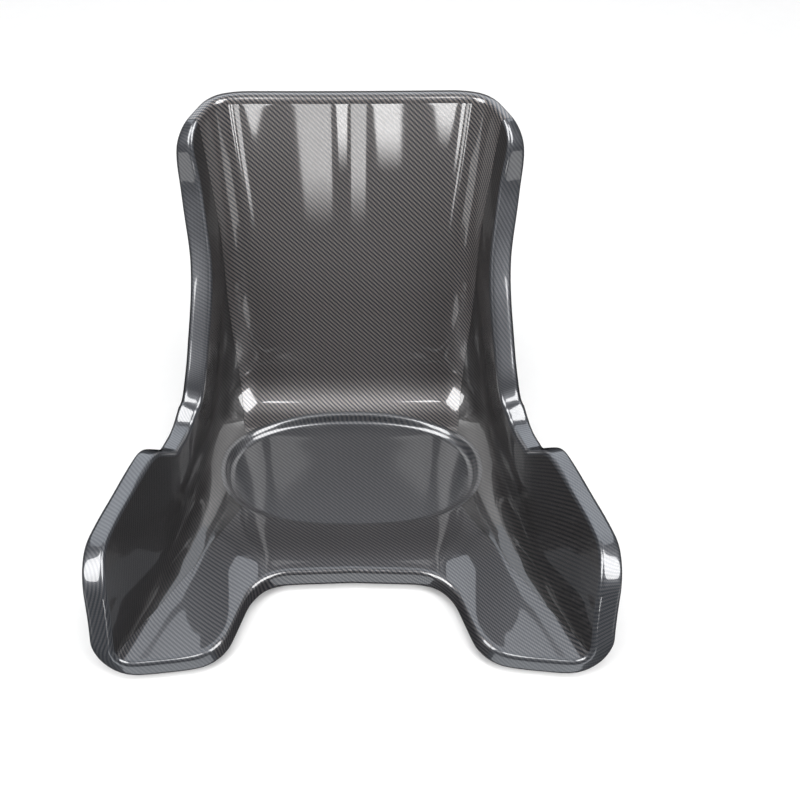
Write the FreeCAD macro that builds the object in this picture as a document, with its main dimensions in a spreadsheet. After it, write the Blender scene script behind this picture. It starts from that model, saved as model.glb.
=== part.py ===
import FreeCAD, Part

import math
import os

import Sketcher

# Racing seat shell, hand-laid in woven cloth over a structural laminate.
# Millimetres.  +Z up, the sitter faces -Y, X is across.  The origin is on the underside of
# the flat seat dish, below the middle of the seat, and the dish rests on Z = 0.
#
# The moulded face is one smooth surface F(along, across):
#   along   runs down the middle line: lobe tips (negative), dish (0), bend, top edge;
#   across  is the girth from the middle line over the corner and up the side wall.
# Each ply is a sheet between two offsets of that surface, measured from the moulded face.

Vector = FreeCAD.Vector

# ---------------------------------------------------------------- driving dimensions

DIMENSIONS = [
    ("pan_height", 11.4, "moulded face of the pan above the resting plane"),
    ("lobe_rise", 11.0, "extra height of the lobe tips"),
    ("lobe_start", -95.0, "where the lobes start to rise"),
    ("lobe_tip", -272.0, "front of the leg lobes"),
    ("bend_start", 57.8, "end of the flat pan"),
    ("bend_radius", 55.0, "bend between pan and back"),
    ("back_lean", 10.0, "lean of the back from upright, degrees"),
    ("back_top", 446.3, "top edge, measured along the middle line"),
    ("ridge_height", 13.0, "thigh ridge at the middle of the front edge"),
    ("ridge_half", 165.0, "half width of the thigh ridge"),
    ("ridge_crown", 85.0, "half width of its level crown"),
    ("ridge_start", -70.0, "where the thigh ridge starts"),
    ("ridge_length", 86.0, "run of the thigh ridge"),
    ("groove_depth", 0.6, "spine groove down the back"),
    ("groove_half", 8.0, "half width of the spine groove"),
    ("wall_lean_front", -3.0, "lean of the wall direction at the front, degrees"),
    ("wall_lean_back", 80.0, "lean of the wall direction at the back, degrees"),
    ("wall_turn_start", -156.0, "where the wall direction starts to turn"),
    ("wall_turn_end", 270.0, "where the wall direction stops turning"),
    ("dish_middle", -7.5, "middle of the oval dish"),
    ("dish_floor_half_width", 128.5, "flat floor of the dish"),
    ("dish_floor_half_depth", 76.5, "flat floor of the dish"),
    ("dish_side_run", 14.5, "width of the dish wall at the sides"),
    ("dish_front_run", 9.5, "width of the dish wall at front and back"),
    ("dish_fullness", 2.3, "exponent of the oval; 2 is an ellipse"),
    ("cloth_thickness", 0.8, "outer woven plies with their clear resin"),
    ("bond_line", 0.05, "resin line between the woven plies and the laminate"),
    ("laminate_thickness", 2.55, "structural laminate"),
    ("fold_radius", 4.5, "first fold of the rim"),
    ("top_fold_radius", 8.0, "softer roll along the top edge"),
    ("flange_width", 9.3, "flat of the rim flange"),
    ("top_flange_width", 5.0, "narrower flange behind the top edge"),
    ("front_flange_extra", 2.5, "wider flange in the middle of the front edge"),
    ("lip_radius", 4.2, "second fold of the rim"),
    ("lip_turn", 75.0, "turn of the second fold, degrees"),
    ("lip_length", 7.0, "return lip"),
]

# Cross sections along the middle line:
# place, half width at the corner, flare of the side wall in degrees, corner radius, and
# extra width of the rim flange where it stands out sideways
STATIONS = [
    ("tip", -270, 221, 5, 17, 6),
    ("wing", -215, 203, 13, 26, 5),
    ("thigh", -160, 184, 16, 34, 5),
    ("hip", -60, 168, 7.5, 42, 3),
    ("seat", 20, 160, 3.5, 44, 3),
    ("hollow", 96, 152, 2.5, 52, 3),
    ("waist", 195, 138, 7, 42, 4),
    ("rib", 295, 131, 11, 32, 6),
    ("shoulder", 395, 132, 27, 28, 8),
    ("crown", 451, 134, 34, 26, -9),
]
STATION_FIELDS = ("place", "half", "flare", "corner", "flange")

# Corners of the right half of the cloth blank, laid flat, from the middle of the front
# edge round to the middle of the top edge: along, across, corner radius
BLANK = [
    ("front_corner", -166, 100, 55),
    ("lobe_inner", -260, 129, 34),
    ("lobe_outer", -272, 222, 60),
    ("wing_corner", -238, 307, 36),
    ("wing_top", -156, 282, 200),
    ("hump", -94, 272, 30),
    ("notch", -57, 235, 28),
    ("hip_side", 4, 225, 120),
    ("hip_rise", 92, 262, 130),
    ("waist_side", 212, 218, 300),
    ("rib_side", 301, 186, 300),
    ("shoulder_low", 375, 176, 120),
    ("shoulder_corner", 432, 181, 34),
    ("top_corner", 447, 138, 70),
]
BLANK_FIELDS = ("along", "across", "round")

# Where the lines that fan out from the dish leave it (angle round the oval, 0 = side,
# 90 = back) and which corner of the blank each one reaches
FAN = [
    ("front_middle", -90),
    ("front_corner", -45),
    ("lobe_inner", -29),
    ("lobe_outer", -26),
    ("notch", -20),
    ("shoulder_corner", 20),
    ("top_corner", 32),
    ("top_middle", 90),
]

# ---------------------------------------------------------------- document and sheet

doc = FreeCAD.newDocument("RacingSeat")
sheet = doc.addObject("Spreadsheet::Sheet", "Dimensions")
next_row = 1


def add_cell(alias, value, note):
    global next_row
    sheet.set("A%d" % next_row, alias)
    sheet.set("B%d" % next_row, "%g" % value)
    sheet.set("C%d" % next_row, note)
    sheet.setAlias("B%d" % next_row, alias)
    next_row += 1


for name, value, note in DIMENSIONS:
    add_cell(name, value, note)
for station in STATIONS:
    for field, value in zip(STATION_FIELDS, station[1:]):
        add_cell("%s_%s" % (station[0], field), value, "cross section at the " + station[0])
for corner in BLANK:
    for field, value in zip(BLANK_FIELDS, corner[1:]):
        add_cell("blank_%s_%s" % (corner[0], field), value, "corner of the cloth blank")
doc.recompute()


def dim(alias):
    return float(sheet.get(alias))


def add_sketch(body, label, plane_role):
    sketch = body.newObject("Sketcher::SketchObject", label)
    plane = [f for f in body.Origin.OriginFeatures if f.Role == plane_role][0]
    sketch.AttachmentSupport = (plane, [""])
    sketch.MapMode = "FlatFace"
    return sketch


# ---------------------------------------------------------------- sketches

outlines = doc.addObject("PartDesign::Body", "Outlines")
outlines.Label = "construction_outlines"


def draw_blank():
    """Half of the flat cloth blank as a run of straight sides; corners are rounded later."""
    sketch = add_sketch(outlines, "ClothBlank", "XY_Plane")
    names = [c[0] for c in BLANK]
    ends = [("0", "Dimensions.blank_front_corner_along + 4")]
    ends += [("Dimensions.blank_%s_across" % n, "Dimensions.blank_%s_along" % n) for n in names]
    ends += [("0", "Dimensions.back_top")]
    rough = [Vector(0, dim("blank_front_corner_along") + 4, 0)]
    rough += [Vector(dim("blank_%s_across" % n), dim("blank_%s_along" % n), 0) for n in names]
    rough += [Vector(0, dim("back_top"), 0)]
    for start, end in zip(rough, rough[1:]):
        sketch.addGeometry(Part.LineSegment(start, end), False)
    for i in range(len(rough) - 2):
        sketch.addConstraint(Sketcher.Constraint("Coincident", i, 2, i + 1, 1))
    sketch.addConstraint(Sketcher.Constraint("PointOnObject", 0, 1, -2))
    index = sketch.addConstraint(
        Sketcher.Constraint("DistanceY", -1, 1, 0, 1, rough[0].y))
    sketch.setExpression("Constraints[%d]" % index, ends[0][1])
    for i, (across, along) in enumerate(ends[1:-1]):
        index = sketch.addConstraint(
            Sketcher.Constraint("DistanceX", -1, 1, i, 2, rough[i + 1].x))
        sketch.setExpression("Constraints[%d]" % index, across)
        index = sketch.addConstraint(
            Sketcher.Constraint("DistanceY", -1, 1, i, 2, rough[i + 1].y))
        sketch.setExpression("Constraints[%d]" % index, along)
    last = len(rough) - 2
    sketch.addConstraint(Sketcher.Constraint("PointOnObject", last, 2, -2))
    index = sketch.addConstraint(
        Sketcher.Constraint("DistanceY", -1, 1, last, 2, rough[-1].y))
    sketch.setExpression("Constraints[%d]" % index, ends[-1][1])
    return sketch


def draw_middle_line():
    """Side view of the middle line: pan, bend and back."""
    sketch = add_sketch(outlines, "MiddleLine", "YZ_Plane")
    lean = math.radians(90 - dim("back_lean"))
    radius = dim("bend_radius")
    start = Vector(dim("lobe_tip"), dim("pan_height"), 0)
    knee = Vector(dim("bend_start"), dim("pan_height"), 0)
    centre = knee + Vector(0, radius, 0)
    hip = centre + Vector(radius * math.sin(lean), -radius * math.cos(lean), 0)
    back = dim("back_top") - dim("bend_start") - radius * lean
    top = hip + Vector(back * math.cos(lean), back * math.sin(lean), 0)
    sketch.addGeometry(Part.LineSegment(start, knee), False)
    sketch.addGeometry(
        Part.ArcOfCircle(Part.Circle(centre, Vector(0, 0, 1), radius),
                         -math.pi / 2, lean - math.pi / 2), False)
    sketch.addGeometry(Part.LineSegment(hip, top), False)
    sketch.addConstraint(Sketcher.Constraint("Horizontal", 0))
    sketch.addConstraint(Sketcher.Constraint("Tangent", 0, 2, 1, 1))
    sketch.addConstraint(Sketcher.Constraint("Tangent", 1, 2, 2, 1))
    bound = [
        (Sketcher.Constraint("DistanceX", -1, 1, 0, 1, start.x), "Dimensions.lobe_tip"),
        (Sketcher.Constraint("DistanceY", -1, 1, 0, 1, start.y), "Dimensions.pan_height"),
        (Sketcher.Constraint("DistanceX", -1, 1, 0, 2, knee.x), "Dimensions.bend_start"),
        (Sketcher.Constraint("Radius", 1, radius), "Dimensions.bend_radius"),
        (Sketcher.Constraint("Angle", 2, lean), "(90 - Dimensions.back_lean) * 1 deg"),
        (Sketcher.Constraint("Distance", 2, back),
         "Dimensions.back_top - Dimensions.bend_start"
         " - Dimensions.bend_radius * (90 - Dimensions.back_lean) * pi / 180"),
    ]
    for constraint, expression in bound:
        index = sketch.addConstraint(constraint)
        sketch.setExpression("Constraints[%d]" % index, expression)
    return sketch


blank_sketch = draw_blank()
middle_sketch = draw_middle_line()
doc.recompute()

# ---------------------------------------------------------------- moulded surface


def smooth(value):
    value = min(max(value, 0.0), 1.0)
    return value * value * (3 - 2 * value)


def middle_line(along):
    """Y and Z of the middle line, read from its sketch."""
    pan, bend, back = middle_sketch.Geometry
    bend_end = pan.EndPoint.x + bend.Radius * (bend.LastParameter - bend.FirstParameter)
    if along <= pan.EndPoint.x:
        run = (dim("lobe_start") - along) / (dim("lobe_start") - dim("lobe_tip"))
        return along, pan.EndPoint.y + dim("lobe_rise") * max(run, 0.0) ** 2
    if along < bend_end:
        point = bend.value(bend.FirstParameter + (along - pan.EndPoint.x) / bend.Radius)
        return point.x, point.y
    point = back.StartPoint + (back.EndPoint - back.StartPoint).normalize() * (along - bend_end)
    return point.x, point.y


def wall_direction(along):
    """Direction in which the side walls stand up, turning from upright to forward."""
    run = (along - dim("wall_turn_start")) / (dim("wall_turn_end") - dim("wall_turn_start"))
    front = dim("wall_lean_front")
    lean = math.radians(front + (dim("wall_lean_back") - front) * smooth(run))
    return Vector(0, -math.sin(lean), math.cos(lean))


PLACES = [dim("%s_place" % s[0]) for s in STATIONS]


def station_curve(field):
    """Smooth curve through one value of every cross section."""
    values = [dim("%s_%s" % (s[0], field)) for s in STATIONS]
    last = len(PLACES) - 1
    slopes = []
    for i in range(last + 1):
        low, high = max(i - 1, 0), min(i + 1, last)
        slopes.append((values[high] - values[low]) / (PLACES[high] - PLACES[low]))

    def value(along):
        if along >= PLACES[-1]:
            return values[-1]
        if along <= PLACES[0]:
            return values[0] + slopes[0] * (along - PLACES[0])
        i = max(k for k in range(last) if PLACES[k] <= along)
        gap = PLACES[i + 1] - PLACES[i]
        x = (along - PLACES[i]) / gap
        return ((2 * x ** 3 - 3 * x ** 2 + 1) * values[i]
                + (x ** 3 - 2 * x ** 2 + x) * gap * slopes[i]
                + (3 * x ** 2 - 2 * x ** 3) * values[i + 1]
                + (x ** 3 - x ** 2) * gap * slopes[i + 1])
    return value


half_width = station_curve("half")
wall_flare = station_curve("flare")
corner_radius = station_curve("corner")
side_flange = station_curve("flange")


def section(along, across):
    """Cross section: floor, rounded corner and flared wall.  Gives X and wall height."""
    half, flare = half_width(along), math.radians(wall_flare(along))
    radius, turn = corner_radius(along), math.pi / 2 - flare
    tangent = radius * math.tan(turn / 2)
    flat, reach = half - tangent, abs(across)
    if reach <= flat:
        x, height = reach, 0.0
    elif reach <= flat + radius * turn:
        angle = (reach - flat) / radius
        x, height = flat + radius * math.sin(angle), radius * (1 - math.cos(angle))
    else:
        wall = reach - flat - radius * turn + tangent
        x, height = half + wall * math.sin(flare), wall * math.cos(flare)
    return math.copysign(x, across), height


def face_point(along, across):
    y, z = middle_line(along)
    x, height = section(along, across)
    side = (abs(x) - dim("ridge_crown")) / (dim("ridge_half") - dim("ridge_crown"))
    height += (dim("ridge_height") * (1 - smooth(side))
               * smooth((dim("ridge_start") - along) / dim("ridge_length")))
    height -= (dim("groove_depth") * math.exp(-(x / dim("groove_half")) ** 2)
               * smooth((along - dim("bend_start") - 60) / 60))
    return Vector(x, y, z) + wall_direction(along) * height


def face_normal(along, across):
    """Unit normal of the moulded face, towards the sitter."""
    step = 0.5
    down = face_point(along + step, across) - face_point(along - step, across)
    over = face_point(along, across + step) - face_point(along, across - step)
    return over.cross(down).normalize()


# ---------------------------------------------------------------- outlines in samples


def rounded_outline(points, radii, straight_step, arc_step):
    """Samples of an open run of straight sides with rounded corners, and the sample
    number nearest to every corner."""
    samples, marks = [points[0]], [0]
    for i in range(1, len(points) - 1):
        before = (points[i - 1] - points[i]).normalize()
        after = (points[i + 1] - points[i]).normalize()
        half_angle = before.getAngle(after) / 2
        reach = radii[i] / math.tan(half_angle)
        room = 0.48 * min((points[i - 1] - points[i]).Length, (points[i + 1] - points[i]).Length)
        reach = min(reach, room)
        radius = reach * math.tan(half_angle)
        enter, leave = points[i] + before * reach, points[i] + after * reach
        samples += straight_samples(samples[-1], enter, straight_step)
        centre = points[i] + (before + after).normalize() * (radius / math.sin(half_angle))
        sweep = math.pi - 2 * half_angle
        count = max(2, int(round(radius * sweep / arc_step)))
        first, side = enter - centre, leave - centre
        for k in range(1, count + 1):
            share = k / count
            samples.append(centre + (first * math.sin((1 - share) * sweep)
                                     + side * math.sin(share * sweep)) * (1 / math.sin(sweep)))
        marks.append(len(samples) - 1 - count // 2)
    samples += straight_samples(samples[-1], points[-1], straight_step)
    marks.append(len(samples) - 1)
    return samples, marks


def straight_samples(start, end, step):
    count = max(1, int(round((end - start).Length / step)))
    return [start + (end - start) * (k / count) for k in range(1, count + 1)]


corner_names = ["front_middle"] + [c[0] for c in BLANK] + ["top_middle"]
sides = blank_sketch.Geometry
corner_points = [sides[0].StartPoint] + [side.EndPoint for side in sides]
corner_rounds = [0] + [dim("blank_%s_round" % c[0]) for c in BLANK] + [0]
rim_samples, corner_marks = rounded_outline(corner_points, corner_rounds, 13.0, 6.5)
MARK = dict(zip(corner_names, corner_marks))


def oval_angle(sample):
    """Angle round the dish at which the line to one rim sample starts."""
    anchors = [(MARK[name], angle) for name, angle in FAN]
    for (low, a0), (high, a1) in zip(anchors, anchors[1:]):
        if sample <= high:
            return a0 + (a1 - a0) * (sample - low) / (high - low)
    return anchors[-1][1]


def oval_point(angle, half_wide, half_deep):
    """Point of the superellipse round the dish middle, in plan."""
    c, s = math.cos(math.radians(angle)), math.sin(math.radians(angle))
    power = dim("dish_fullness")
    size = (abs(c / half_wide) ** power + abs(s / half_deep) ** power) ** (-1 / power)
    return size * c, dim("dish_middle") + size * s


# ---------------------------------------------------------------- pole grid

RING_ROWS = 18
WALL_ARC_STEPS = 3
FOLD_STEPS = 5
LIP_STEPS = 3


def girth_for_x(along, x):
    """Girth from the middle line at which the section reaches a given X."""
    across = x
    for _ in range(12):
        across += x - section(along, across)[0]
    return across


def dish_rows(inner, outer, outer_normal):
    """Wall of the dish: two arcs that leave the floor level and meet the pan."""
    out = Vector(outer.x - inner.x, outer.y - inner.y, 0)
    run, rise = out.Length, outer.z - inner.z
    out.normalize()
    up = Vector(0, 0, 1)
    radius = (run * run + rise * rise) / (4 * rise)
    turn = 2 * math.atan2(rise, run)
    rows = [(inner, up)]
    for k in range(1, WALL_ARC_STEPS + 1):
        angle = turn * k / WALL_ARC_STEPS
        point = inner + out * (radius * math.sin(angle)) + up * (radius * (1 - math.cos(angle)))
        rows.append((point, up * math.cos(angle) - out * math.sin(angle)))
    for k in range(WALL_ARC_STEPS - 1, 0, -1):
        angle = turn * k / WALL_ARC_STEPS
        point = outer - out * (radius * math.sin(angle)) - up * (radius * (1 - math.cos(angle)))
        rows.append((point, up * math.cos(angle) - out * math.sin(angle)))
    rows.append((outer, outer_normal))
    return rows


def rim_rows(point, normal, outward, top_share, width):
    """Fold, flange, second fold and return lip beyond one point of the rim."""
    fold = dim("fold_radius") + (dim("top_fold_radius") - dim("fold_radius")) * top_share
    rows, back = [], normal * -1

    def step_arc(start, ahead, behind, radius, turn, count):
        for k in range(1, count + 1):
            angle = turn * k / count
            place = (start + ahead * (radius * math.sin(angle))
                     + behind * (radius * (1 - math.cos(angle))))
            rows.append((place, ahead * math.sin(angle) - behind * math.cos(angle)))

    step_arc(point, outward, back, fold, math.pi / 2, FOLD_STEPS)
    corner = rows[-1][0]
    rows.append((corner + back * (width / 2), outward))
    rows.append((corner + back * width, outward))
    step_arc(rows[-1][0], back, outward * -1, dim("lip_radius"),
             math.radians(dim("lip_turn")), LIP_STEPS)
    turn = math.radians(dim("lip_turn"))
    end, lip_normal = rows[-1]
    along_lip = back * math.cos(turn) - outward * math.sin(turn)
    rows.append((end + along_lip * (dim("lip_length") / 2), lip_normal))
    rows.append((end + along_lip * dim("lip_length"), lip_normal))
    return rows


def column(sample, mirrored):
    """One line of poles from the dish floor to the end of the return lip."""
    angle = oval_angle(sample)
    floor_x, floor_y = oval_point(angle, dim("dish_floor_half_width"),
                                  dim("dish_floor_half_depth"))
    outer_x, outer_y = oval_point(angle, dim("dish_floor_half_width") + dim("dish_side_run"),
                                  dim("dish_floor_half_depth") + dim("dish_front_run"))
    start_across = girth_for_x(outer_y, outer_x)
    rim_across, rim_along = rim_samples[sample].x, rim_samples[sample].y
    total = cloth + bond + laminate
    inner = Vector(floor_x, floor_y, total)
    rows = dish_rows(inner, face_point(outer_y, start_across), face_normal(outer_y, start_across))
    length = math.hypot(rim_across - start_across, rim_along - outer_y)
    shares = [(k / RING_ROWS) ** 1.4 for k in range(1, RING_ROWS)] + [1 - 4.0 / length, 1.0]
    for share in shares:
        along = outer_y + (rim_along - outer_y) * share
        across = start_across + (rim_across - start_across) * share
        rows.append((face_point(along, across), face_normal(along, across)))
    low, high = rim_samples[max(sample - 1, 0)], rim_samples[min(sample + 1, LAST)]
    tangent = face_point(high.y, high.x) - face_point(low.y, low.x)
    if sample in (0, LAST):
        tangent = Vector(1 if sample == 0 else -1, 0, 0)
    point, normal = rows[-1]
    outward = tangent.cross(normal).normalize()
    top_share = smooth((rim_along - 420) / 20) * (1 - smooth((rim_across - 110) / 50))
    front_share = smooth(-rim_along / 100) * (1 - smooth((rim_across - 70) / 50))
    width = dim("flange_width") + side_flange(rim_along) * (1 - normal.z)
    width += dim("front_flange_extra") * front_share
    width += (dim("top_flange_width") - width) * top_share
    rows += rim_rows(point, normal, outward, top_share, width)
    if mirrored:
        rows = [(Vector(-p.x, p.y, p.z), Vector(-n.x, n.y, n.z)) for p, n in rows]
    return rows


cloth, bond, laminate = dim("cloth_thickness"), dim("bond_line"), dim("laminate_thickness")
LAST = len(rim_samples) - 1
right_half = [column(k, False) for k in range(LAST + 1)]
left_half = [column(k, True) for k in range(LAST, -1, -1)]
GRID = right_half + left_half[1:]
COLUMNS = len(GRID)
ROWS = len(GRID[0])
PAN_ROW = 2 * WALL_ARC_STEPS
FOLD_ROW = PAN_ROW + RING_ROWS + 1
END_ROW = ROWS - 1

# ---------------------------------------------------------------- surfaces and plies


def clamped_knots(count):
    spans = count - 3
    return [float(k) for k in range(spans + 1)], [4] + [1] * (spans - 1) + [4]


def moulded_surface(depth):
    """The whole moulded face, set back by a depth."""
    poles = [[point - normal * depth for point, normal in line] for line in GRID]
    around, around_mult = clamped_knots(COLUMNS)
    out, out_mult = clamped_knots(ROWS)
    surface = Part.BSplineSurface()
    surface.buildFromPolesMultsKnots(
        poles, around_mult, out_mult, around, out, False, False, 3, 3)
    return surface


def knot_place(pole, count):
    """Knot value that belongs to a pole number of a clamped uniform cubic."""
    return min(max(pole - 1.0, 0.0), count - 3.0)


def patch(depth, first, last, inner, outer):
    """Part of the moulded face between two columns and two rows."""
    surface = moulded_surface(depth)
    surface.segment(knot_place(first, COLUMNS), knot_place(last, COLUMNS),
                    knot_place(inner, ROWS), knot_place(outer, ROWS))
    return surface


def ruled(first, second):
    """Straight-line surface between two border curves with the same knots."""
    surface = Part.BSplineSurface()
    surface.buildFromPolesMultsKnots(
        [first.getPoles(), second.getPoles()], [2, 2], first.getMultiplicities(),
        [0.0, 1.0], first.getKnots(), False, False, 1, first.Degree)
    return surface.toShape()


def solid_from(faces):
    shell = Part.makeShell(faces)
    shell.sewShape()
    if shell.ShapeType != "Shell":
        shell = shell.Shells[0]
    solid = Part.makeSolid(shell)
    if solid.Volume < 0:
        solid.reverse()
    return solid


def border(surface, side):
    low_u, high_u, low_v, high_v = surface.bounds()
    if side == "first":
        return surface.uIso(low_u)
    if side == "last":
        return surface.uIso(high_u)
    if side == "inner":
        return surface.vIso(low_v)
    return surface.vIso(high_v)


def ply_sheet(front, back, first, last, inner, outer):
    """Solid sheet over one window of the face, between two depths."""
    near = patch(front, first, last, inner, outer)
    far = patch(back, first, last, inner, outer)
    faces = [near.toShape(), far.toShape()]
    for side in ("first", "last", "inner", "outer"):
        faces.append(ruled(border(near, side), border(far, side)))
    return solid_from(faces)


def ply_with_floor(front, back, outer):
    """Solid sheet right round the seat, closed by the flat floor of the dish."""
    half = (COLUMNS - 1) / 2
    faces, floors = [], []
    for depth in (front, back):
        halves = [patch(depth, 0, half, 0, outer), patch(depth, half, COLUMNS - 1, 0, outer)]
        faces += [surface.toShape() for surface in halves]
        floors.append(halves)
        rim = Part.Wire([border(surface, "inner").toShape() for surface in halves])
        faces.append(Part.Face(rim))
    for near, far in zip(*floors):
        faces.append(ruled(border(near, "outer"), border(far, "outer")))
    return solid_from(faces)


def add_piece(label, shape):
    piece = doc.addObject("Part::Feature", label)
    piece.Label = label
    piece.Shape = shape
    piece.Placement = FreeCAD.Placement()
    pieces.append(piece)
    return piece


def mirrored_window(first, last):
    return COLUMNS - 1 - last, COLUMNS - 1 - first


# ---------------------------------------------------------------- pieces

pieces = []
SEAM = 0.03                         # half gap between woven pieces, in pole places
BUTT = 0.01                         # half gap between packs of inner plies
lobe_corner = MARK["lobe_outer"]
lobe_inner = MARK["lobe_inner"]
notch = MARK["notch"]
shoulder = MARK["shoulder_corner"] + 2


def add_both_sides(name, front, back, first, last, inner, outer):
    """A piece on the right and its mirror image on the left."""
    windows = (("_right", (first, last)), ("_left", mirrored_window(first, last)))
    for side, window in windows:
        add_piece(name + side, ply_sheet(front, back, *window, inner, outer))


def add_across_front(name, front, back, last, inner, outer):
    """One piece that crosses the middle of the front edge."""
    right = ply_sheet(front, back, 0, last, inner, outer)
    left = ply_sheet(front, back, *mirrored_window(0, last), inner, outer)
    add_piece(name, right.fuse(left).removeSplitter())


def build_laminate():
    """Structural laminate: five shaped packs of inner plies that meet edge to edge."""
    depths = (cloth + bond, cloth + bond + laminate)
    rows = (PAN_ROW + BUTT, END_ROW)
    add_piece("laminate_dish", ply_with_floor(*depths, PAN_ROW - BUTT))
    add_across_front("laminate_pan", *depths, lobe_corner - BUTT, *rows)
    add_both_sides("laminate_side", *depths, lobe_corner + BUTT, shoulder - BUTT, *rows)
    add_piece("laminate_back",
              ply_sheet(*depths, shoulder + BUTT, COLUMNS - 1 - shoulder - BUTT, *rows))


def build_cloths():
    """Outer woven pieces on the moulded face."""
    rows = (PAN_ROW + SEAM, FOLD_ROW - SEAM)
    add_piece("dish_cloth", ply_with_floor(0.0, cloth, PAN_ROW - SEAM))
    add_across_front("pan_cloth", 0.0, cloth, lobe_corner - SEAM, *rows)
    add_both_sides("side_cloth", 0.0, cloth, lobe_corner + SEAM, shoulder - SEAM, *rows)
    add_piece("back_cloth", ply_sheet(0.0, cloth, shoulder + SEAM,
                                      COLUMNS - 1 - shoulder - SEAM, PAN_ROW + SEAM, END_ROW))


def build_rim_strips():
    """Narrow woven strips over the rim, from the first fold to the end of the return lip."""
    rows = (FOLD_ROW + SEAM, END_ROW)
    add_across_front("front_rim_strip", 0.0, cloth, lobe_inner - SEAM, *rows)
    add_both_sides("wing_rim_strip", 0.0, cloth, lobe_inner + SEAM, notch - SEAM, *rows)
    add_both_sides("back_rim_strip", 0.0, cloth, notch + SEAM, shoulder - SEAM, *rows)


build_laminate()
build_cloths()
build_rim_strips()
doc.recompute()

# ---------------------------------------------------------------- checks and export

for item in doc.Objects:
    if "Invalid" in item.State or "Error" in item.State:
        raise RuntimeError("%s did not rebuild: %s" % (item.Label, item.State))
for piece in pieces:
    if piece.Shape.isNull() or not piece.Shape.isValid() or len(piece.Shape.Solids) != 1:
        raise RuntimeError("%s has no sound solid" % piece.Label)

os.makedirs("parts", exist_ok=True)
for piece in pieces:
    piece.Shape.exportStep("parts/%s.step" % piece.Label)
    box = piece.Shape.BoundBox
    print("%-28s volume %9.0f  x %.1f..%.1f  y %.1f..%.1f  z %.1f..%.1f" % (
        piece.Label, piece.Shape.Volume, box.XMin, box.XMax, box.YMin, box.YMax,
        box.ZMin, box.ZMax))
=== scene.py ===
"""Racing seat shell in woven cloth under a clear coat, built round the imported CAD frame.

All lengths below are millimetres in the CAD frame until a mesh is made, which is in metres.
The moulded face is the same smooth surface as in the CAD model: along runs down the middle
line of the seat, across is the girth from the middle line.
"""

import math

import bpy
import numpy as np
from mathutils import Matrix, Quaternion, Vector


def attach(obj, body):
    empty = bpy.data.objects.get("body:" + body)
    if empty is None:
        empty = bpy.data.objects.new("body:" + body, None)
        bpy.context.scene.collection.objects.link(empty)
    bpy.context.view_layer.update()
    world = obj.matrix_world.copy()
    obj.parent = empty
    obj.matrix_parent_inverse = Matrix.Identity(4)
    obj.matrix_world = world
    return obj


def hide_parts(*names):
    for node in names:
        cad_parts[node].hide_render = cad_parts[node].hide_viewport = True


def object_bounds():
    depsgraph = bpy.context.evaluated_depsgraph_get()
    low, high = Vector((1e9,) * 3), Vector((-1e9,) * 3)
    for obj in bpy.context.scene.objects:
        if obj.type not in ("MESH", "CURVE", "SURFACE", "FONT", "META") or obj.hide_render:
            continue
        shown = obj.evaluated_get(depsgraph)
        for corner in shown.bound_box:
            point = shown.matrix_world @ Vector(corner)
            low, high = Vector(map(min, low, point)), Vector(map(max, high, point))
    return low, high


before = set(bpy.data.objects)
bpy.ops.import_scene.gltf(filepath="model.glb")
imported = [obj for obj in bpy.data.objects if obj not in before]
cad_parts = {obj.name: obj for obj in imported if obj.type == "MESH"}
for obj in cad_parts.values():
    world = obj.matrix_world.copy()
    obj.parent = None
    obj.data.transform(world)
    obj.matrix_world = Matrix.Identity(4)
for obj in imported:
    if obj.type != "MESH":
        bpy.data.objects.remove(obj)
CAD_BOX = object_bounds()
MM = 0.001

# ------------------------------------------------------------------ shape of the seat

PAN_HEIGHT = 11.4
LOBE_RISE, LOBE_START, LOBE_TIP = 11.0, -95.0, -272.0
BEND_START, BEND_RADIUS, BACK_LEAN = 57.8, 55.0, 10.0
BACK_TOP = 446.3
RIDGE_HEIGHT, RIDGE_HALF, RIDGE_CROWN = 13.0, 165.0, 85.0
RIDGE_START, RIDGE_LENGTH = -70.0, 86.0
GROOVE_DEPTH, GROOVE_HALF = 0.6, 8.0
WALL_LEAN = (-3.0, 80.0)
WALL_TURN = (-156.0, 270.0)
DISH_MIDDLE = -7.5
DISH_FLOOR = (128.5, 76.5)
DISH_RUN = (14.5, 9.5)
DISH_FULLNESS = 2.3
CLOTH, BOND, LAMINATE = 0.8, 0.05, 2.55
SHELL = CLOTH + BOND + LAMINATE
FOLD_RADIUS, TOP_FOLD_RADIUS = 4.5, 8.0
FLANGE_WIDTH, TOP_FLANGE_WIDTH, FRONT_FLANGE_EXTRA = 9.3, 5.0, 2.5
LIP_RADIUS, LIP_TURN, LIP_LENGTH = 4.2, math.radians(75.0), 7.0

# cross sections: place, half width at the corner, flare of the wall, corner radius, extra
# width of the rim flange where it stands out sideways
STATIONS = np.array([
    (-270, 221, 5, 17, 6),
    (-215, 203, 13, 26, 5),
    (-160, 184, 16, 34, 5),
    (-60, 168, 7.5, 42, 3),
    (20, 160, 3.5, 44, 3),
    (96, 152, 2.5, 52, 3),
    (195, 138, 7, 42, 4),
    (295, 131, 11, 32, 6),
    (395, 132, 27, 28, 8),
    (451, 134, 34, 26, -9),
], dtype=float)

# corners of the right half of the cloth blank: along, across, corner radius
BLANK = {
    "front_corner": (-166, 100, 55),
    "lobe_inner": (-260, 129, 34),
    "lobe_outer": (-272, 222, 60),
    "wing_corner": (-238, 307, 36),
    "wing_top": (-156, 282, 200),
    "hump": (-94, 272, 30),
    "notch": (-57, 235, 28),
    "hip_side": (4, 225, 120),
    "hip_rise": (92, 262, 130),
    "waist_side": (212, 218, 300),
    "rib_side": (301, 186, 300),
    "shoulder_low": (375, 176, 120),
    "shoulder_corner": (432, 181, 34),
    "top_corner": (447, 138, 70),
}

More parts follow.
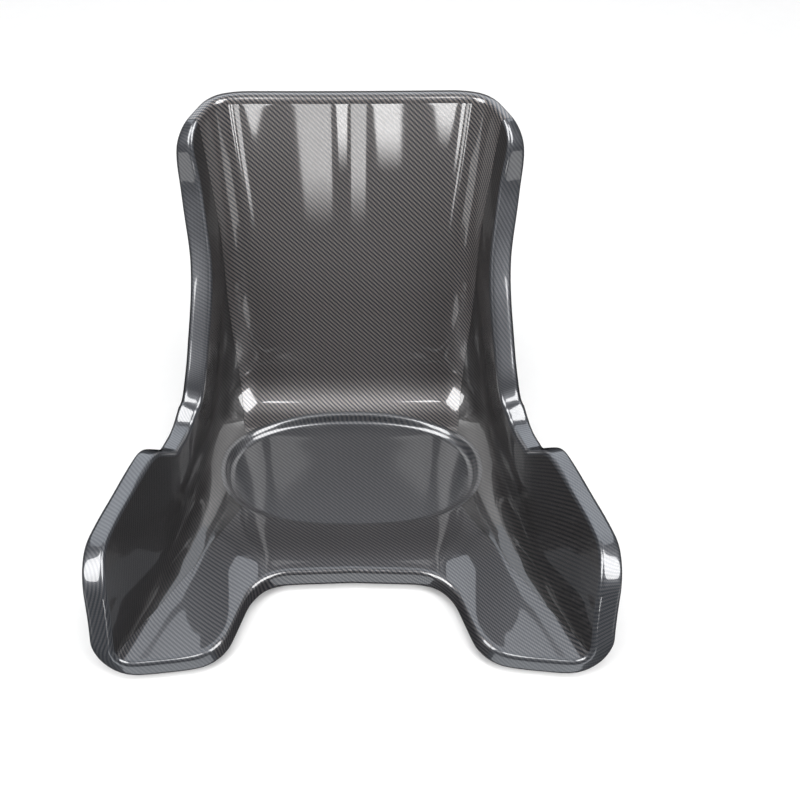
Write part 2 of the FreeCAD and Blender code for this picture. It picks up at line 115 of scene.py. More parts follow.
# angle round the oval dish at which the line to each corner of the blank starts
FAN = {
    "front_middle": -90,
    "front_corner": -45,
    "lobe_inner": -29,
    "lobe_outer": -26,
    "notch": -20,
    "shoulder_corner": 20,
    "top_corner": 32,
    "top_middle": 90,
}


def smooth(value):
    value = np.clip(value, 0.0, 1.0)
    return value * value * (3 - 2 * value)


def unit(vectors):
    return vectors / np.linalg.norm(vectors, axis=-1, keepdims=True)


def middle_line(along):
    """Y and Z of the middle line."""
    rise = math.radians(90 - BACK_LEAN)
    bend_end = BEND_START + BEND_RADIUS * rise
    run = np.maximum((LOBE_START - along) / (LOBE_START - LOBE_TIP), 0.0)
    turn = np.clip((along - BEND_START) / BEND_RADIUS, 0.0, rise)
    up_back = np.maximum(along - bend_end, 0.0)
    y = (np.minimum(along, BEND_START) + BEND_RADIUS * np.sin(turn)
         + up_back * math.cos(rise))
    z = (PAN_HEIGHT + LOBE_RISE * run ** 2 + BEND_RADIUS * (1 - np.cos(turn))
         + up_back * math.sin(rise))
    return y, z


def station_value(along, field):
    """Smooth curve through one value of every cross section."""
    places, values = STATIONS[:, 0], STATIONS[:, field]
    slopes = np.empty_like(values)
    slopes[0] = (values[1] - values[0]) / (places[1] - places[0])
    slopes[-1] = (values[-1] - values[-2]) / (places[-1] - places[-2])
    slopes[1:-1] = (values[2:] - values[:-2]) / (places[2:] - places[:-2])
    i = np.clip(np.searchsorted(places, along, side="right") - 1, 0, len(places) - 2)
    gap = places[i + 1] - places[i]
    x = (along - places[i]) / gap
    inside = ((2 * x ** 3 - 3 * x ** 2 + 1) * values[i]
              + (x ** 3 - 2 * x ** 2 + x) * gap * slopes[i]
              + (3 * x ** 2 - 2 * x ** 3) * values[i + 1]
              + (x ** 3 - x ** 2) * gap * slopes[i + 1])
    before = values[0] + slopes[0] * (along - places[0])
    return np.where(along <= places[0], before, np.where(along >= places[-1], values[-1], inside))


def section(along, across):
    """X and wall height of the cross section at a girth from the middle line."""
    half = station_value(along, 1)
    flare = np.radians(station_value(along, 2))
    radius = station_value(along, 3)
    turn = math.pi / 2 - flare
    tangent = radius * np.tan(turn / 2)
    flat, reach = half - tangent, np.abs(across)
    angle = np.clip((reach - flat) / radius, 0.0, turn)
    wall = np.maximum(reach - flat - radius * turn, 0.0)
    x = np.minimum(reach, flat) + radius * np.sin(angle) + wall * np.sin(flare)
    height = radius * (1 - np.cos(angle)) + wall * np.cos(flare)
    return np.sign(across) * x, height


def face_point(along, across):
    y, z = middle_line(along)
    x, height = section(along, across)
    crown = 1 - smooth((np.abs(x) - RIDGE_CROWN) / (RIDGE_HALF - RIDGE_CROWN))
    height = height + RIDGE_HEIGHT * crown * smooth((RIDGE_START - along) / RIDGE_LENGTH)
    groove = np.exp(-(x / GROOVE_HALF) ** 2) * smooth((along - BEND_START - 60) / 60)
    height = height - GROOVE_DEPTH * groove
    run = smooth((along - WALL_TURN[0]) / (WALL_TURN[1] - WALL_TURN[0]))
    lean = np.radians(WALL_LEAN[0] + (WALL_LEAN[1] - WALL_LEAN[0]) * run)
    return np.stack([x, y - np.sin(lean) * height, z + np.cos(lean) * height], axis=-1)


def face_normal(along, across):
    """Unit normal towards the sitter."""
    step = 0.5
    down = face_point(along + step, across) - face_point(along - step, across)
    over = face_point(along, across + step) - face_point(along, across - step)
    return unit(np.cross(over, down))


# ------------------------------------------------------------------ outline of the blank


def rounded_outline(points, radii, straight_step, arc_step):
    """Samples of an open run of straight sides with rounded corners, and corner marks."""
    samples, marks = [points[0]], [0]

    def straight_to(end):
        start = samples[-1]
        count = max(1, int(round(np.linalg.norm(end - start) / straight_step)))
        samples.extend(start + (end - start) * (k / count) for k in range(1, count + 1))

    for i in range(1, len(points) - 1):
        before, after = unit(points[i - 1] - points[i]), unit(points[i + 1] - points[i])
        half_angle = math.acos(np.clip(before @ after, -1, 1)) / 2
        reach = radii[i] / math.tan(half_angle)
        room = 0.48 * min(np.linalg.norm(points[i - 1] - points[i]),
                          np.linalg.norm(points[i + 1] - points[i]))
        reach = min(reach, room)
        radius = reach * math.tan(half_angle)
        enter, leave = points[i] + before * reach, points[i] + after * reach
        straight_to(enter)
        centre = points[i] + unit(before + after) * (radius / math.sin(half_angle))
        sweep = math.pi - 2 * half_angle
        count = max(2, int(round(radius * sweep / arc_step)))
        for k in range(1, count + 1):
            share = k / count
            samples.append(centre + ((enter - centre) * math.sin((1 - share) * sweep)
                                     + (leave - centre) * math.sin(share * sweep))
                           / math.sin(sweep))
        marks.append(len(samples) - 1 - count // 2)
    straight_to(points[-1])
    marks.append(len(samples) - 1)
    return np.array(samples), marks


corners = ([(0.0, BLANK["front_corner"][0] + 4.0)]
           + [(across, along) for along, across, _ in BLANK.values()] + [(0.0, BACK_TOP)])
rounds = [0] + [radius for _, _, radius in BLANK.values()] + [0]
RIM, corner_marks = rounded_outline([np.array(c, float) for c in corners], rounds, 13.0, 6.5)
MARK = dict(zip(["front_middle", *BLANK, "top_middle"], corner_marks))
LAST = len(RIM) - 1

# ------------------------------------------------------------------ pole grid

RING_ROWS = 18
WALL_ARC_STEPS = 3
FOLD_STEPS = 5
LIP_STEPS = 3
PAN_ROW = 2 * WALL_ARC_STEPS
FOLD_ROW = PAN_ROW + RING_ROWS + 1
END_ROW = FOLD_ROW + FOLD_STEPS + 2 + LIP_STEPS + 2


def oval_point(angle, half_wide, half_deep):
    c, s = math.cos(math.radians(angle)), math.sin(math.radians(angle))
    size = ((abs(c / half_wide) ** DISH_FULLNESS + abs(s / half_deep) ** DISH_FULLNESS)
            ** (-1 / DISH_FULLNESS))
    return size * c, DISH_MIDDLE + size * s


def girth_for_x(along, x):
    across = x
    for _ in range(12):
        across += x - section(np.array(along), np.array(across))[0]
    return float(across)


def dish_rows(inner, outer, outer_normal):
    """Wall of the dish: two arcs from the floor to the pan."""
    up = np.array([0.0, 0.0, 1.0])
    out = np.array([outer[0] - inner[0], outer[1] - inner[1], 0.0])
    run, rise = np.linalg.norm(out), outer[2] - inner[2]
    out /= run
    radius = (run * run + rise * rise) / (4 * rise)
    turn = 2 * math.atan2(rise, run)
    rows = [(inner, up)]
    for k in range(1, WALL_ARC_STEPS + 1):
        a = turn * k / WALL_ARC_STEPS
        rows.append((inner + out * radius * math.sin(a) + up * radius * (1 - math.cos(a)),
                     up * math.cos(a) - out * math.sin(a)))
    for k in range(WALL_ARC_STEPS - 1, 0, -1):
        a = turn * k / WALL_ARC_STEPS
        rows.append((outer - out * radius * math.sin(a) - up * radius * (1 - math.cos(a)),
                     up * math.cos(a) - out * math.sin(a)))
    rows.append((outer, outer_normal))
    return rows


def rim_rows(point, normal, outward, top_share, width):
    """Fold, flange, second fold and return lip beyond one point of the rim."""
    fold = FOLD_RADIUS + (TOP_FOLD_RADIUS - FOLD_RADIUS) * top_share
    rows, back = [], -normal

    def step_arc(start, ahead, behind, radius, turn, count):
        for k in range(1, count + 1):
            a = turn * k / count
            rows.append((start + ahead * radius * math.sin(a) + behind * radius * (1 - math.cos(a)),
                         ahead * math.sin(a) - behind * math.cos(a)))

    step_arc(point, outward, back, fold, math.pi / 2, FOLD_STEPS)
    corner = rows[-1][0]
    rows.append((corner + back * width / 2, outward))
    rows.append((corner + back * width, outward))
    step_arc(rows[-1][0], back, -outward, LIP_RADIUS, LIP_TURN, LIP_STEPS)
    end, lip_normal = rows[-1]
    run = back * math.cos(LIP_TURN) - outward * math.sin(LIP_TURN)
    rows.append((end + run * LIP_LENGTH / 2, lip_normal))
    rows.append((end + run * LIP_LENGTH, lip_normal))
    return rows


def column(sample):
    """Points, normals and cloth coordinates of one line of poles, from dish to lip."""
    marks = [MARK[name] for name in FAN]
    angle = float(np.interp(sample, marks, list(FAN.values())))
    floor_x, floor_y = oval_point(angle, *DISH_FLOOR)
    outer_x, outer_y = oval_point(angle, DISH_FLOOR[0] + DISH_RUN[0], DISH_FLOOR[1] + DISH_RUN[1])
    start = np.array([girth_for_x(outer_y, outer_x), outer_y])
    outer = face_point(start[1], start[0])
    rows = dish_rows(np.array([floor_x, floor_y, SHELL]), outer, face_normal(start[1], start[0]))
    cloth_xy = [(p[0], p[1]) for p, _ in rows[:-1]] + [tuple(start)]
    length = np.linalg.norm(RIM[sample] - start)
    shares = [(k / RING_ROWS) ** 1.4 for k in range(1, RING_ROWS)] + [1 - 4.0 / length, 1.0]
    for share in shares:
        across, along = start + (RIM[sample] - start) * share
        rows.append((face_point(along, across), face_normal(along, across)))
        cloth_xy.append((across, along))
    low, high = RIM[max(sample - 1, 0)], RIM[min(sample + 1, LAST)]
    tangent = face_point(high[1], high[0]) - face_point(low[1], low[0])
    flat_tangent = high - low
    if sample in (0, LAST):
        tangent = np.array([1.0 if sample == 0 else -1.0, 0.0, 0.0])
        flat_tangent = tangent[:2]
    outward = unit(np.cross(tangent, rows[-1][1]))
    flat_out = unit(np.array([flat_tangent[1], -flat_tangent[0]]))
    across, along = RIM[sample]
    fold_start, normal = rows[-1]
    top_share = smooth((along - 420) / 20) * (1 - smooth((across - 110) / 50))
    front_share = smooth(-along / 100) * (1 - smooth((across - 70) / 50))
    width = FLANGE_WIDTH + float(station_value(np.array(along), 4)) * (1 - normal[2])
    width += FRONT_FLANGE_EXTRA * front_share
    width += (TOP_FLANGE_WIDTH - width) * top_share
    beyond = rim_rows(fold_start, normal, outward, top_share, width)
    travelled, previous = 0.0, fold_start
    for point, _ in beyond:
        travelled += float(np.linalg.norm(point - previous))
        previous = point
        cloth_xy.append((across + flat_out[0] * travelled, along + flat_out[1] * travelled))
    return rows + beyond, cloth_xy


def build_grid():
    """Poles, normals and cloth coordinates of the whole shell, right half then left half."""
    built = [column(k) for k in range(LAST + 1)]
    points = np.array([[p for p, _ in rows] for rows, _ in built])
    normals = np.array([[n for _, n in rows] for rows, _ in built])
    cloth = np.array([xy for _, xy in built])
    flip = np.array([-1.0, 1.0, 1.0])
    points = np.concatenate([points, (points * flip)[-2::-1]])
    normals = np.concatenate([normals, (normals * flip)[-2::-1]])
    cloth = np.concatenate([cloth, (cloth * flip[:2])[-2::-1]])
    return points, normals, cloth


POLES, NORMALS, CLOTH_XY = build_grid()
COLUMNS, ROWS = POLES.shape[:2]


def spline_weights(count, places):
    """Weights of a clamped uniform cubic spline with so many poles at given pole places."""
    knots = np.concatenate([[0.0] * 3, np.arange(count - 2.0), [count - 3.0] * 3])
    at = np.clip(places - 1.0, 0.0, count - 3.0 - 1e-9)
    weights = ((knots[None, :-1] <= at[:, None]) & (at[:, None] < knots[None, 1:])).astype(float)
    for degree in range(1, 4):
        left_gap = knots[degree:-1] - knots[:-degree - 1]
        right_gap = knots[degree + 1:] - knots[1:-degree]
        left = np.divide(at[:, None] - knots[:-degree - 1], left_gap,
                         out=np.zeros((len(at), len(left_gap))), where=left_gap > 0)
        right = np.divide(knots[degree + 1:] - at[:, None], right_gap,
                          out=np.zeros((len(at), len(right_gap))), where=right_gap > 0)
        weights = left * weights[:, :-1] + right * weights[:, 1:]
    return weights


def sample_grid(values, columns, rows):
    """Spline values at column places and, for every column, its own row places."""
    over = np.tensordot(spline_weights(COLUMNS, columns), values, axes=(1, 0))
    if rows.ndim == 1:
        return np.einsum("rk,ckd->crd", spline_weights(ROWS, rows), over)
    out = [spline_weights(ROWS, row) @ line for row, line in zip(rows, over)]
    return np.array(out)


# ------------------------------------------------------------------ meshes

COLUMN_STEPS = 3
ROW_STEPS = 3


def new_object(name, vertices, faces, face_uvs, material, replaced):
    mesh = bpy.data.meshes.new(name)
    mesh.from_pydata((np.asarray(vertices) * MM).tolist(), [], faces)
    mesh.update()
    layer = mesh.uv_layers.new(name="cloth")
    layer.data.foreach_set("uv", np.asarray(face_uvs, dtype=np.float32).ravel())
    mesh.shade_smooth()
    mesh.materials.append(material)
    piece = bpy.data.objects.new(name, mesh)
    bpy.context.scene.collection.objects.link(piece)
    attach(piece, "root")
    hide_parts(replaced)
    return piece


def grid_faces(first, columns, rows, flip):
    """Quads of a grid whose vertices start at a number."""
    faces = []
    for c in range(columns - 1):
        for r in range(rows - 1):
            a = first + c * rows + r
            quad = (a, a + rows, a + rows + 1, a + 1)
            faces.append(quad[::-1] if flip else quad)
    return faces


def ribbon_faces(near, far):
    """Quads between two lines of vertex numbers, facing so that a closed sheet is sound."""
    return [(near[k], near[k + 1], far[k + 1], far[k]) for k in range(len(near) - 1)]


SHARP_ANGLE = math.radians(40)


def mark_sharp(piece):
    piece.data.set_sharp_from_angle(angle=SHARP_ANGLE)


def sheet_piece(name, window, depths, material, replaced):
    """Closed thin sheet over one window of the moulded face.

    window holds the first and last column and two functions of the column that give the
    first and last row."""
    first, last, row_start, row_end = window
    columns = np.linspace(first, last, max(2, int(round((last - first) * COLUMN_STEPS)) + 1))
    span = np.mean(row_end(columns) - row_start(columns))
    shares = np.linspace(0.0, 1.0, max(2, int(round(span * ROW_STEPS)) + 1))
    low, high = row_start(columns)[:, None], row_end(columns)[:, None]
    rows = low + (high - low) * shares[None, :]
    xy = sample_grid(CLOTH_XY, columns, rows)
    sides = [sample_grid(POLES - NORMALS * depth, columns, rows) for depth in depths]
    nc, nr = len(columns), len(shares)
    vertices = np.concatenate([side.reshape(-1, 3) for side in sides])
    faces = grid_faces(0, nc, nr, False) + grid_faces(nc * nr, nc, nr, True)
    index = np.arange(nc * nr).reshape(nc, nr)
    for line, turned in ((index[0], False), (index[-1], True), (index[:, 0], True),
                         (index[:, -1], False)):
        line = line[::-1] if turned else line
        faces += ribbon_faces(line + nc * nr, line)
    uv = np.concatenate([xy.reshape(-1, 2)] * 2) * MM
    loops = uv[np.concatenate([np.array(f) for f in faces])]
    piece = new_object(name, vertices, faces, loops, material, replaced)
    mark_sharp(piece)
    return piece


def round_piece(name, depths, last_row, material, replaced):
    """Closed sheet right round the shell, with the flat floor of the dish."""
    columns = np.linspace(0, COLUMNS - 1, (COLUMNS - 1) * COLUMN_STEPS + 1)[:-1]
    rows = np.linspace(0, last_row, int(round(last_row * ROW_STEPS)) + 1)
    xy = sample_grid(CLOTH_XY, columns, rows)
    nc, floor_rings = len(columns), 14
    middle = np.array([0.0, DISH_MIDDLE])
    shares = (np.arange(1, floor_rings) / floor_rings)[None, :, None]
    xy = np.concatenate([middle + (xy[:, :1] - middle) * shares, xy], axis=1)
    nr = xy.shape[1]
    vertices, faces, uvs = [], [], []
    for side, depth in enumerate(depths):
        ring = sample_grid(POLES - NORMALS * depth, columns, rows)
        centre = np.array([0.0, DISH_MIDDLE, ring[0, 0, 2]])
        ring = np.concatenate([centre + (ring[:, :1] - centre) * shares, ring], axis=1)
        first = len(vertices)
        vertices += [centre, *ring.reshape(-1, 3)]
        uvs += [middle, *xy.reshape(-1, 2)]
        index = first + 1 + np.arange(nc * nr).reshape(nc, nr)
        after = np.roll(index, -1, axis=0)
        quads = np.stack([index[:, :-1], after[:, :-1], after[:, 1:], index[:, 1:]], axis=-1)
        quads = quads.reshape(-1, 4)
        caps = np.stack([np.full(nc, first), after[:, 0], index[:, 0]], axis=-1)
        faces += [tuple(q) for q in (quads if side else quads[:, ::-1])]
        faces += [tuple(t) for t in (caps if not side else caps[:, ::-1])]
    near = 1 + np.arange(nc * nr).reshape(nc, nr)[:, -1]
    far = near + 1 + nc * nr
    for k in range(nc):
        j = (k + 1) % nc
        faces.append((near[k], far[k], far[j], near[j]))
    uv = np.array(uvs) * MM
    loops = uv[np.concatenate([np.array(f) for f in faces])]
    piece = new_object(name, vertices, [tuple(int(i) for i in f) for f in faces], loops,
                       material, replaced)
    mark_sharp(piece)
    return piece


# ------------------------------------------------------------------ materials

TOW = 1.32 * MM                      # width of one carbon tow
TOW_WANDER = 1.5                     # range of the weave's drift from straight, in tows
# the resin colour between the tows, also painted as shade on each rounded tow towards its edges
RESIN_AND_TOW_EDGE_SHADE = (0.006, 0.006, 0.007)    # colour between the tows
FIBRE_SHADE = (0.012, 0.012, 0.014)  # colour of the dark fibre streaks


class Graph:
    """Short helpers for building a material's nodes."""

    def __init__(self, name):
        self.material = bpy.data.materials.new(name)
        self.material.use_nodes = True
        self.tree = self.material.node_tree
        self.tree.nodes.clear()
        self.output = self.add("ShaderNodeOutputMaterial")
        self.shader = self.add("ShaderNodeBsdfPrincipled")
        self.join(self.shader.outputs["BSDF"], self.output.inputs["Surface"])

    def add(self, kind, **settings):
        node = self.tree.nodes.new(kind)
        for key, value in settings.items():
            setattr(node, key, value)
        return node

    def join(self, source, target):
        self.tree.links.new(source, target)

    def math(self, operation, *values):
        node = self.add("ShaderNodeMath", operation=operation)
        for socket, value in zip(node.inputs, values):
            if isinstance(value, (int, float)):
                socket.default_value = value
            else:
                self.join(value, socket)
        return node.outputs[0]

    def noise(self, coordinates, scale, detail=2.0):
        node = self.add("ShaderNodeTexNoise")
        node.inputs["Scale"].default_value = scale
        node.inputs["Detail"].default_value = detail
        node.inputs["Roughness"].default_value = 0.5
        self.join(coordinates, node.inputs["Vector"])
        return node.outputs["Fac"]

    def mix_colour(self, share, first, second):
        node = self.add("ShaderNodeMix", data_type="RGBA")
        for socket, value in ((node.inputs["Factor"], share), (node.inputs["A"], first),
                              (node.inputs["B"], second)):
            if isinstance(value, (tuple, list)):
                socket.default_value = (*value, 1.0)
            else:
                self.join(value, socket)
        return node.outputs["Result"]

    def mix_value(self, share, first, second):
        spread = self.math("SUBTRACT", second, first)
        return self.math("ADD", first, self.math("MULTIPLY", share, spread))


def twill_pattern(graph):
    """2 by 2 twill on the cloth coordinates.  Gives the coordinates counted in tows, which
    tow lies on top, the height of the weave and a slow variation for resin and tension."""
    coordinates = graph.add("ShaderNodeTexCoord").outputs["UV"]
    place = graph.add("ShaderNodeMapping")
    place.inputs["Scale"].default_value = (1 / TOW, 1 / TOW, 1.0)
    graph.join(coordinates, place.inputs["Vector"])
    split = graph.add("ShaderNodeSeparateXYZ")
    graph.join(place.outputs["Vector"], split.inputs["Vector"])
    slow = graph.noise(coordinates, 9.0, detail=3.0)
    shift = graph.math("MULTIPLY", graph.math("SUBTRACT", slow, 0.5), TOW_WANDER)
    x = graph.math("ADD", split.outputs["X"], shift)
    y = graph.math("ADD", split.outputs["Y"], shift)
    cell = graph.math("ADD", graph.math("FLOOR", x), graph.math("FLOOR", y))
    phase = graph.math("FLOORED_MODULO", cell, 4.0)
    lengthwise = graph.math("LESS_THAN", phase, 1.5)

    def crown(value):
        part = graph.math("SUBTRACT", graph.math("FRACT", value), 0.5)
        square = graph.math("MULTIPLY", part, part)
        return graph.math("SUBTRACT", 1.0, graph.math("MULTIPLY", square, 4.0))

    across_tow = graph.mix_value(lengthwise, crown(y), crown(x))
    return x, y, lengthwise, across_tow, slow


def carbon_material(name, sheen_colour, dark, coat=1.0, metallic=0.25, bump=0.35, coat_rough=0.035,
                    depth=0.75):
    """Woven carbon under clear resin: the tows lying one way are painted lighter than the others as
    painted sheen, rounded tows are painted darker towards their edges as painted shade, with a fine fibre
    streak in each and a smooth clear coat on top."""
    graph = Graph(name)
    x, y, lengthwise, across_tow, slow = twill_pattern(graph)
    fibre = graph.add("ShaderNodeCombineXYZ")
    along_x, fine_x = graph.math("MULTIPLY", x, 0.12), graph.math("MULTIPLY", x, 3.0)
    along_y, fine_y = graph.math("MULTIPLY", y, 0.12), graph.math("MULTIPLY", y, 3.0)
    graph.join(graph.mix_value(lengthwise, along_x, fine_x), fibre.inputs["X"])
    graph.join(graph.mix_value(lengthwise, fine_y, along_y), fibre.inputs["Y"])
    streak = graph.noise(fibre.outputs["Vector"], 1.6, detail=2.0)
    # painted sheen: the tows lying one way get the lighter colour, standing in for the fibres'
    # direction-dependent reflection
    sheen_tone = graph.mix_colour(lengthwise, dark, sheen_colour)
    # painted shade: each tow darkens towards its edges, by depth, into the dark resin colour between the
    # tows
    edge = graph.math("MULTIPLY", graph.math("SUBTRACT", 1.0, across_tow), depth)
    shade = graph.mix_colour(edge, sheen_tone, RESIN_AND_TOW_EDGE_SHADE)
    streak_share = graph.math("MULTIPLY", streak, 0.45)
    streaked = graph.mix_colour(streak_share, shade, FIBRE_SHADE)
    graph.join(streaked, graph.shader.inputs["Base Color"])
    roughness = graph.mix_value(slow, 0.30, 0.46)
    graph.join(roughness, graph.shader.inputs["Roughness"])
    relief = graph.math("ADD", across_tow, graph.math("MULTIPLY", streak, 0.25))
    push = graph.add("ShaderNodeBump")
    push.inputs["Strength"].default_value = bump
    push.inputs["Distance"].default_value = 0.12 * MM
    graph.join(relief, push.inputs["Height"])
    graph.join(push.outputs["Normal"], graph.shader.inputs["Normal"])
    set_finish(graph.shader, metallic, coat, coat_rough)
    return graph.material


def set_finish(shader, metallic, coat, coat_rough):
    shader.inputs["Metallic"].default_value = metallic
    shader.inputs["IOR"].default_value = 1.5
    shader.inputs["Coat Weight"].default_value = coat
    shader.inputs["Coat Roughness"].default_value = coat_rough
    shader.inputs["Coat IOR"].default_value = 1.55


# the same carbon twill in lit and shaded copies: the back is painted lightest, the pan darker, the side
# walls darkest as painted shade, and the dish and rim get a raised cool dark tone as painted grey
# reflection and painted sheen
back_lit_material = carbon_material("back_weave", (0.230, 0.203, 0.190), (0.009, 0.017, 0.030))
pan_shaded_material = carbon_material("pan_weave", (0.118, 0.110, 0.112), (0.007, 0.012, 0.021))
dish_reflection_material = carbon_material("dish_weave", (0.120, 0.119, 0.126), (0.040, 0.046, 0.057),
                                coat_rough=0.08)
side_shaded_material = carbon_material("side_weave", (0.050, 0.044, 0.042), (0.005, 0.007, 0.010))
rim_sheen_material = carbon_material("rim_weave", (0.090, 0.092, 0.100), (0.036, 0.041, 0.051), bump=0.15,
                               coat_rough=0.06, metallic=0.35, depth=0.4)
core_material = carbon_material("core_weave", (0.10, 0.09, 0.085), (0.028, 0.028, 0.031), coat=0.5,
                                coat_rough=0.2, metallic=0.55)

# ------------------------------------------------------------------ pieces

SEAM, BUTT = 0.03, 0.01             # half gaps between cloths and between laminate packs
LOBE_OUTER, LOBE_INNER = MARK["lobe_outer"], MARK["lobe_inner"]
NOTCH, SHOULDER = MARK["notch"], MARK["shoulder_corner"] + 2


def level(row):
    return lambda columns: np.full(len(columns), float(row))


def mirrored(first, last):
    return COLUMNS - 1 - last, COLUMNS - 1 - first


def both_sides(name, first, last, row_start, row_end, depths, material, replaced):
    """A right piece and its mirror image on the left."""
    sheet_piece(name + "_right", (first, last, row_start, row_end), depths, material,
                replaced + "_right")
    low, high = mirrored(first, last)
    sheet_piece(name + "_left", (low, high, row_start, row_end), depths, material,
                replaced + "_left")


def across_front(name, last, row_start, row_end, depths, material, replaced):
    """A piece that crosses the middle of the front edge, built as two mirrored halves."""
    for side, window in (("_right", (0, last)), ("_left", mirrored(0, last))):
        sheet_piece(name + side, (*window, row_start, row_end), depths, material, replaced)


FACE = (0.0, CLOTH)
INNER = (CLOTH + BOND, SHELL)
ring_start, ring_end = level(PAN_ROW + SEAM), level(FOLD_ROW - SEAM)
strip_start, strip_end = level(FOLD_ROW + SEAM), level(END_ROW)
pack_start = level(PAN_ROW + BUTT)

round_piece("dish_laminate", INNER, PAN_ROW - BUTT, core_material, "laminate_dish")
across_front("pan_laminate", LOBE_OUTER - BUTT, pack_start, strip_end, INNER, core_material,
             "laminate_pan")
both_sides("side_laminate", LOBE_OUTER + BUTT, SHOULDER - BUTT, pack_start, strip_end, INNER,
           core_material, "laminate_side")
sheet_piece("back_laminate", (SHOULDER + BUTT, COLUMNS - 1 - SHOULDER - BUTT, pack_start, strip_end),
            INNER, core_material, "laminate_back")

round_piece("dish_weave_cloth", FACE, PAN_ROW - SEAM, dish_reflection_material, "dish_cloth")
across_front("pan_weave_cloth", LOBE_OUTER - SEAM, ring_start, ring_end, FACE, pan_shaded_material,
             "pan_cloth")
sheet_piece("back_weave_cloth", (SHOULDER + SEAM, COLUMNS - 1 - SHOULDER - SEAM, ring_start, strip_end),
            FACE, back_lit_material, "back_cloth")
both_sides("side_weave_cloth", LOBE_OUTER + SEAM, SHOULDER - SEAM, ring_start, ring_end, FACE,
           side_shaded_material, "side_cloth")
across_front("front_strip", LOBE_INNER - SEAM, strip_start, strip_end, FACE, pan_shaded_material,
             "front_rim_strip")
both_sides("wing_strip", LOBE_INNER + SEAM, NOTCH - SEAM, strip_start, strip_end, FACE,
           rim_sheen_material, "wing_rim_strip")
both_sides("back_strip", NOTCH + SEAM, SHOULDER - SEAM, strip_start, strip_end, FACE,
           rim_sheen_material, "back_rim_strip")

# ------------------------------------------------------------------ stage, light and camera


SEAT_MIDDLE = Vector((0.0, 0.0, 0.15))
WHITE, COOL, SKY = (1.0, 1.0, 1.0), (0.92, 0.96, 1.0), (0.88, 0.93, 1.0)


def build_floor():
    mesh = bpy.data.meshes.new("pale_floor")
    mesh.from_pydata([(x, y, 0) for x, y in box_outline(12.0, 12.0)], [], [(0, 1, 2, 3)])
    floor = bpy.data.objects.new("pale_floor", mesh)
    floor.location.z = CAD_BOX[0][2] - 0.0004
    bpy.context.scene.collection.objects.link(floor)
    graph = Graph("floor_paper")
    grain = graph.noise(graph.add("ShaderNodeTexCoord").outputs["Object"], 40.0)
    graph.join(graph.mix_colour(grain, (0.90, 0.90, 0.90), (0.93, 0.93, 0.93)),
               graph.shader.inputs["Base Color"])
    graph.shader.inputs["Roughness"].default_value = 0.8
    mesh.materials.append(graph.material)
    floor.visible_glossy = False


def add_area(name, place, size, power):
    """A soft box aimed at the seat; it lights surfaces but doesn't show in reflections."""
    light = bpy.data.lights.new(name, "AREA")
    light.shape = "RECTANGLE"
    light.size, light.size_y = size
    light.energy = power
    lamp = bpy.data.objects.new(name, light)
    lamp.location = place
    lamp.rotation_euler = (SEAT_MIDDLE - Vector(place)).to_track_quat("-Z", "Y").to_euler()
    lamp.visible_glossy = False
    bpy.context.scene.collection.objects.link(lamp)


def add_card(name, place, target, outline, strength, colour=WHITE, fade=0.0):
    """A lit studio panel that only shows in reflections; fade dims it towards its lower end."""
    mesh = bpy.data.meshes.new(name)
    mesh.from_pydata([(x, y, 0) for x, y in outline], [], [tuple(range(len(outline)))])
    card = bpy.data.objects.new(name, mesh)
    card.location = place
    card.rotation_euler = (Vector(target) - Vector(place)).to_track_quat("Z", "Y").to_euler()
    bpy.context.scene.collection.objects.link(card)
    material = bpy.data.materials.new(name)
    material.use_nodes = True
    nodes, links = material.node_tree.nodes, material.node_tree.links
    nodes.clear()
    output = nodes.new("ShaderNodeOutputMaterial")
    glow = nodes.new("ShaderNodeEmission")
    glow.inputs["Color"].default_value = (*colour, 1.0)
    glow.inputs["Strength"].default_value = strength
    if fade:
        low, high = min(y for _, y in outline), max(y for _, y in outline)
        split = nodes.new("ShaderNodeSeparateXYZ")
        ramp = nodes.new("ShaderNodeMapRange")
        ramp.interpolation_type = "SMOOTHSTEP"
        links.new(nodes.new("ShaderNodeTexCoord").outputs["Object"], split.inputs["Vector"])
        links.new(split.outputs["Y"], ramp.inputs["Value"])
        ramp.inputs["From Min"].default_value = low
        ramp.inputs["From Max"].default_value = low + (high - low) * fade
        ramp.inputs["To Max"].default_value = strength
        links.new(ramp.outputs["Result"], glow.inputs["Strength"])
    links.new(glow.outputs["Emission"], output.inputs["Surface"])
    mesh.materials.append(material)
    card.visible_camera = False
    card.visible_diffuse = False
    card.visible_shadow = False


def box_outline(wide, high):
    x, y = wide / 2, high / 2
    return [(-x, -y), (x, -y), (x, y), (-x, y)]


def around(azimuth, elevation, distance):
    """Place round the seat: azimuth 0 in front, 90 on the +X side."""
    a, e = math.radians(azimuth), math.radians(elevation)
    return (distance * math.sin(a) * math.cos(e), -distance * math.cos(a) * math.cos(e),
            SEAT_MIDDLE.z + distance * math.sin(e))


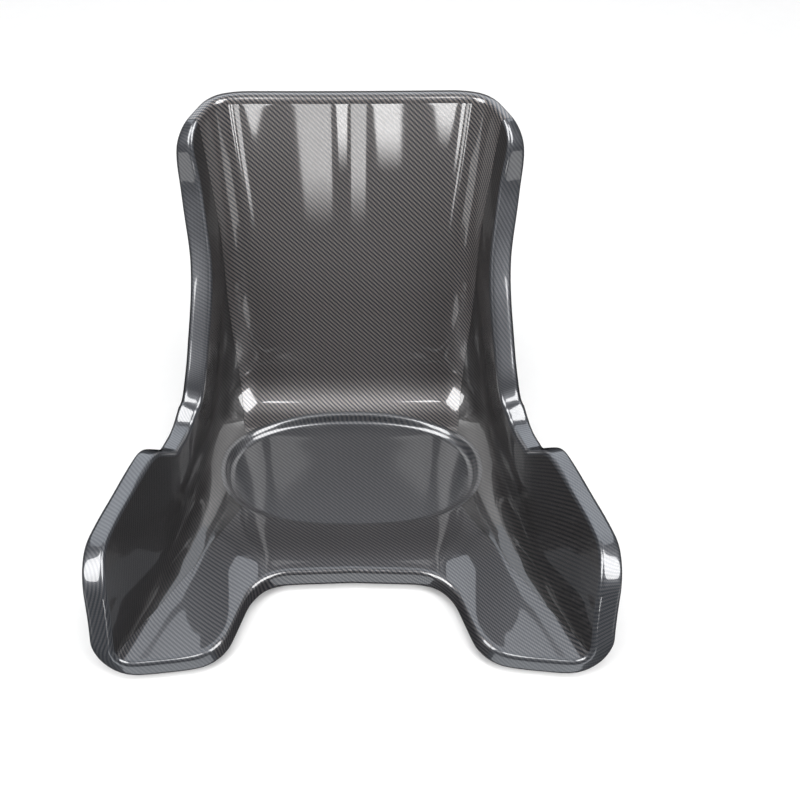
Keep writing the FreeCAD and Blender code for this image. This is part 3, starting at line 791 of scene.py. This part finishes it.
def build_light():
    world = bpy.data.worlds.new("studio")
    bpy.context.scene.world = world
    world.use_nodes = True
    background = world.node_tree.nodes["Background"]
    background.inputs["Color"].default_value = (1.0, 1.0, 1.0, 1.0)
    background.inputs["Strength"].default_value = 0.80
    world.cycles_visibility.glossy = False
    add_area("overhead_box", (0.0, -0.3, 2.2), (1.3, 0.9), 14.0)
    for side, name in ((-1, "left"), (1, "right")):
        add_area(name + "_side_box", around(side * 45, 30, 1.9), (0.6, 0.8), 15.0)
        add_card(name + "_key_card", around(side * 52, 48, 1.9), SEAT_MIDDLE, box_outline(1.15, 1.8), 12.0)
        add_card(name + "_low_card", around(side * 58, -13, 2.6), SEAT_MIDDLE, box_outline(1.5, 0.5), 1.8)
    add_card("rear_ceiling", around(180, 46, 2.6), SEAT_MIDDLE, box_outline(4.4, 2.3), 2.3, SKY)
    # low panels in front of the seat, seen again in the upper part of its back
    front, facing = (0.0, -2.5, 0.0), (0.0, 0.0, 0.0)
    haze = [(-0.44, -0.42), (0.44, -0.42), (0.44, 0.10), (-0.44, 0.10)]
    add_card("front_haze", front, facing, haze, 0.6, fade=0.9)
    # each panel: left and right edge and height of its top, the same of its foot, strength
    for name, top, foot, strength in (
            ("outer_left", (-0.390, -0.232, 0.10), (-0.372, -0.335, -0.33), 10.0),
            ("inner_left", (-0.186, -0.015, 0.10), (-0.140, -0.020, -0.47), 7.5),
            ("inner_right", (0.034, 0.162, 0.08), (0.090, 0.160, -0.29), 13.0),
            ("outer_right", (0.236, 0.395, 0.10), (0.285, 0.330, -0.22), 13.0)):
        # the panel faces the seat, so its own X runs the other way
        outline = [(-foot[0], foot[2]), (-foot[1], foot[2]), (-top[1], top[2]), (-top[0], top[2])]
        add_card("front_panel_" + name, (0.0, -2.49, 0.0), facing, outline, strength, fade=0.4)
    # a dark flag keeps those panels out of the bend, and a low sheet lights the front edges
    add_card("front_flag", (0.0, -0.33, 0.035), facing, box_outline(0.44, 0.07), 0.0)
    add_card("front_sheet", (0.0, -1.3, -0.85), facing, box_outline(1.8, 0.8), 1.7, COOL)


def build_camera():
    data = bpy.data.cameras.new("photo_camera")
    data.sensor_width = 36.0
    data.lens = 56.7
    data.shift_x, data.shift_y = 0.061, -0.040
    camera = bpy.data.objects.new("photo_camera", data)
    rise, distance = math.radians(41.0), 1.3
    camera.location = SEAT_MIDDLE + Vector((0, -math.cos(rise), math.sin(rise))) * distance
    look = (SEAT_MIDDLE - camera.location).to_track_quat("-Z", "Y")
    camera.rotation_euler = (look @ Quaternion((0, 0, 1), math.radians(-0.25))).to_euler()
    bpy.context.scene.collection.objects.link(camera)
    bpy.context.scene.camera = camera
    bpy.context.scene.view_settings.view_transform = "Standard"


build_floor()
build_light()
build_camera()
